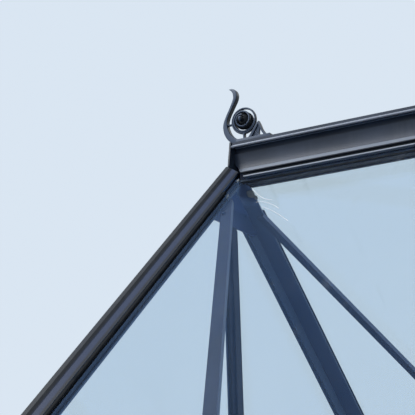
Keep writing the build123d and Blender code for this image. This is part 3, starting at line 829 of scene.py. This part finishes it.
def squeezeSealant(look):
    pieces = []
    for (inwards, across, up), size, side, seed in look["lumps"]:
        deselectAll()
        bpy.ops.mesh.primitive_ico_sphere_add(subdivisions=2, radius=0.5, location=(0, 0, 0))
        lump = bpy.context.object
        editNow(lump)
        bpy.ops.transform.vertex_random(offset=look["rough"], seed=seed)
        bpy.ops.transform.resize(value=mm(*size), center_override=(0, 0, 0))
        modify(lump, "SUBSURF", levels=look["levels"], render_levels=look["levels"])
        lump.data.transform(Matrix.Rotation(-side * roof["pitch"], 4, "X"))
        lump.data.transform(Matrix.Translation((-roof["gableX"] + mm(inwards), mm(across), apex + mm(up))))
        pieces.append(lump)
    finishPiece(joinPieces("sealant_left", pieces), "paleSealant", look["smooth"])


squeezeSealant(sealant)
print("sealant in")

# Cobweb threads on the front glass near the photographed end: stops (inwards, down the slope)
cobweb = {"radius": 0.35, "smooth": 60.0,
          "threads": [[(127.2, 162.9), (134.4, 161.2), (146.6, 167.8), (160.3, 178.7), (174.4, 191.2),
                       (186.6, 205.8)],
                      [(95.5, 98.3), (115.8, 127.6), (133.2, 147.6), (147.4, 159.6), (158.9, 164.5)],
                      [(148.1, 187.3), (168.9, 202.0), (196.0, 229.7), (225.1, 264.5)]]}


def spinThreads(look):
    pieces = []
    onSlope = slopeFrame(-roof["gableX"], -1, -1)
    for thread in look["threads"]:
        line = bpy.data.curves.new("thread", "CURVE")
        line.dimensions = "3D"
        line.bevel_depth = mm(look["radius"])
        line.bevel_resolution = 1
        line.use_fill_caps = True
        spline = line.splines.new("NURBS")
        spline.points.add(len(thread) - 1)
        for point, place in zip(spline.points, thread):
            point.co = (*(onSlope @ Vector(mm(*place, look["radius"]))), 1.0)
        spline.use_endpoint_u = True
        piece = bpy.data.objects.new("thread", line)
        bpy.context.scene.collection.objects.link(piece)
        makeActive(piece)
        bpy.ops.object.convert(target="MESH")
        pieces.append(bpy.context.object)
    finishPiece(joinPieces("cobweb_left", pieces), "whiteThread", look["smooth"])


spinThreads(cobweb)
print("threads spun")

# Camera: the photograph's place and angle, found from the ridge, the rafter and the braces. "turn" is the
# rotation vector from the roof's axes to the camera's right, down and forward.
camera = {"place": (0.2126, -2.1257, 0.4628), "turn": (1.2785, 0.3171, -0.465), "lens": 117.3, "sensor": 36.0}


def addCamera(look):
    data = bpy.data.cameras.new("camera")
    data.lens = look["lens"]
    data.sensor_width = look["sensor"]
    shot = bpy.data.objects.new("camera", data)
    bpy.context.scene.collection.objects.link(shot)
    turn = Vector(look["turn"])
    right, down, forward = Matrix.Rotation(turn.length, 3, turn.normalized())
    facing = Matrix((right, -down, -forward)).transposed().to_4x4()
    shot.matrix_world = Matrix.Translation(look["place"]) @ facing
    bpy.context.scene.camera = shot


# Studio: pale floor and backdrop, a broad soft lamp above on the left, a weaker one behind the roof
studio = {
    "paper": (0.70, 0.79, 0.89, 1.0), "shade": (0.66, 0.75, 0.85, 1.0), "bounce": (0.27, 0.32, 0.38, 1.0),
    "shadeScale": 3.0, "shadeShare": 0.15, "glow": 0.5, "fill": 0.30,
    "floorZ": -0.0005, "floorRadius": 14.0, "floorRough": 0.9, "floorShine": 0.1,
    "lamps": [("topLamp", (-2.9, -1.9, 4.4), 3.0, 240.0), ("rearLamp", (1.4, 3.8, 4.2), 3.0, 60.0)],
    "lampAim": (-0.4, 0.0, 0.8),
}


def layFloor(look):
    bpy.ops.mesh.primitive_circle_add(vertices=96, radius=look["floorRadius"], fill_type="NGON",
                                      location=(0, 0, look["floorZ"]))
    floor = bpy.context.object
    floor.name = "floor"
    f = Finish("floor_paper")
    tone = f.blend(f.noise(look["shadeScale"]) * look["shadeShare"], look["paper"], look["shade"])
    # Seen, mirrored or through glass the floor is pale as far as the backdrop, in part by its own glow.
    # As a source of light on the object it is darker and doesn't glow.
    thrown = f.add("ShaderNodeLightPath", out="Is Diffuse Ray")
    lit = f.blend(look["glow"], tone, black)
    glowing = f.blend(look["glow"], black, tone)
    floor.data.materials.append(f.done(f.surface(
        colour=f.blend(thrown, lit, look["bounce"]), glow=f.blend(thrown, glowing, black), glowStrength=1.0,
        rough=look["floorRough"], shine=look["floorShine"])))


def hangLamps(look):
    for name, place, size, power in look["lamps"]:
        data = bpy.data.lights.new(name, "AREA")
        data.size = size
        data.energy = power
        lamp = bpy.data.objects.new(name, data)
        bpy.context.scene.collection.objects.link(lamp)
        lamp.location = place
        lamp.rotation_euler = (Vector(look["lampAim"]) - Vector(place)).to_track_quat("-Z", "Y").to_euler()


def addBackdrop(look):
    # full paper where it is seen, mirrored or looked at through glass, weaker as a source of light
    f = Finish("studio", "worlds")
    seen = f.add("ShaderNodeLightPath", out="Is Camera Ray")
    for ray in ("Is Glossy Ray", "Is Transmission Ray"):
        seen = seen.greater(f.add("ShaderNodeLightPath", out=ray))
    light = f.add("ShaderNodeBackground", None, {"Color": look["paper"], "Strength": look["fill"]})
    shown = f.add("ShaderNodeBackground", None, {"Color": look["paper"]})
    mix = f.add("ShaderNodeMixShader", None, {0: seen, 1: light, 2: shown})
    bpy.context.scene.world = f.done(mix, "ShaderNodeOutputWorld")


addCamera(camera)
layFloor(studio)
hangLamps(studio)
addBackdrop(studio)
bpy.context.scene.view_settings.view_transform = "Standard"
print("camera and studio set")
